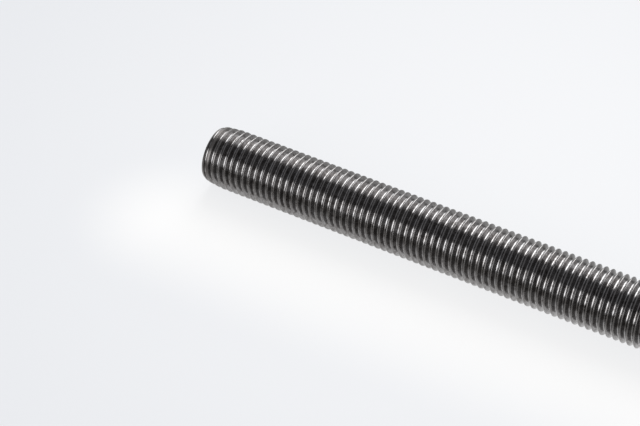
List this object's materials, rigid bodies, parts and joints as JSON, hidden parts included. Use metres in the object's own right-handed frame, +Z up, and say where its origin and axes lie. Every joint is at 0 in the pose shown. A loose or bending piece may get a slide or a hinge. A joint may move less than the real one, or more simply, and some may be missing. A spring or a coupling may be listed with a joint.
{
  "type": "threaded rod",
  "caption": "Straight round bar of bare steel with a right-hand 60 degree thread along its whole length and a chamfer on each flat end.",
  "frame": {"origin": "under the middle of the rod, on the plane that it lies on", "axes": "+X along the rod, +Z up"},
  "size_m": [0.3, 0.0354, 0.0354],
  "materials": {
    "steel": "bare rolled steel, dark and lightly oiled"
  },
  "bodies": {
    "root": {"threaded_rod": "steel"}
  },
  "joints": []
}
